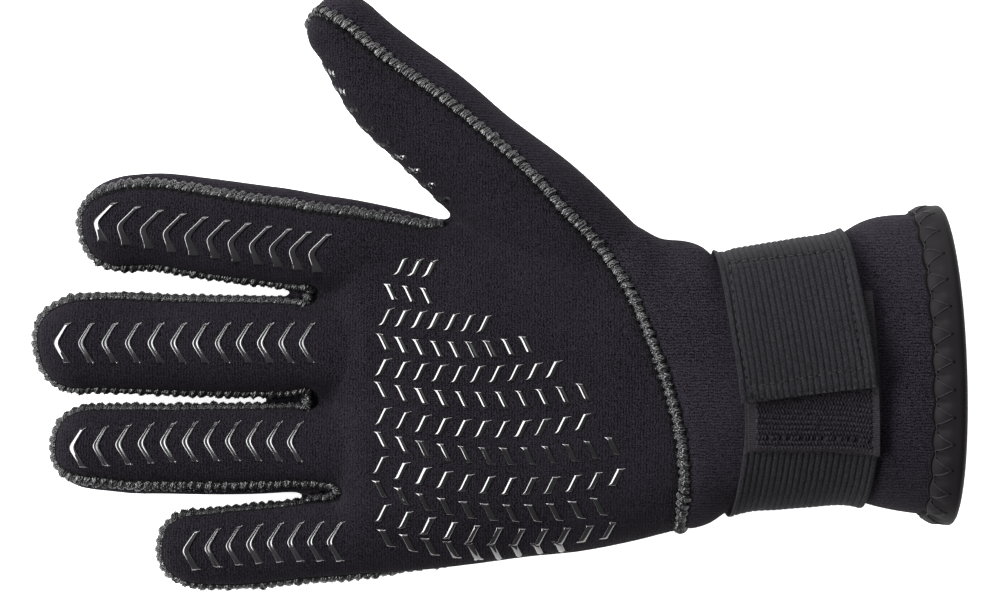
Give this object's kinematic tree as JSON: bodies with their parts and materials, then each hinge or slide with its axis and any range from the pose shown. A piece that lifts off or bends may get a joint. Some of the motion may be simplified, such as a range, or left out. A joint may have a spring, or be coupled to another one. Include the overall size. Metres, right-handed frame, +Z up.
{
  "type": "neoprene glove",
  "caption": "Right-hand neoprene water sports glove with raised silicone grip on palm and fingers, overlocked seams, a wrapped wrist strap with hook-and-loop closure and a bound cuff.",
  "frame": {"origin": "on the table, under the middle of the glove's outline seen from above", "axes": "+X from the fingertips to the cuff, +Y across the hand towards the thumb, +Z up; the glove lies on its back with the palm up"},
  "size_m": [0.2586, 0.1662, 0.0537],
  "materials": {
    "palm_neoprene": "knitted nylon face on neoprene, fine ribs, matte",
    "back_neoprene": "knitted nylon face on neoprene, fine ribs, matte",
    "seam_thread": "overlocked thread, dark grey, slight sheen",
    "grip_silicone": "printed silicone, glossy black",
    "strap_elastic": "ribbed woven elastic, matte",
    "loop_fabric": "fuzzy loop pile with a woven edge, matte",
    "hook_fabric": "fine plastic hooks, matte",
    "binding_skin": "smooth-skin neoprene, satin"
  },
  "bodies": {
    "root": {"palm_panel": "palm_neoprene", "back_panel": "back_neoprene", "gauntlet": "back_neoprene", "index_front": "palm_neoprene", "middle_front": "palm_neoprene", "ring_front": "palm_neoprene", "little_front": "palm_neoprene", "thumb_front": "palm_neoprene", "index_back": "back_neoprene", "middle_back": "back_neoprene", "ring_back": "back_neoprene", "little_back": "back_neoprene", "thumb_back": "back_neoprene", "finger_seam": "seam_thread", "thumb_seam": "seam_thread", "wrist_strap": "strap_elastic", "loop_patch": "loop_fabric", "hook_patch": "hook_fabric", "cuff_binding": "binding_skin"}
  },
  "joints": []
}
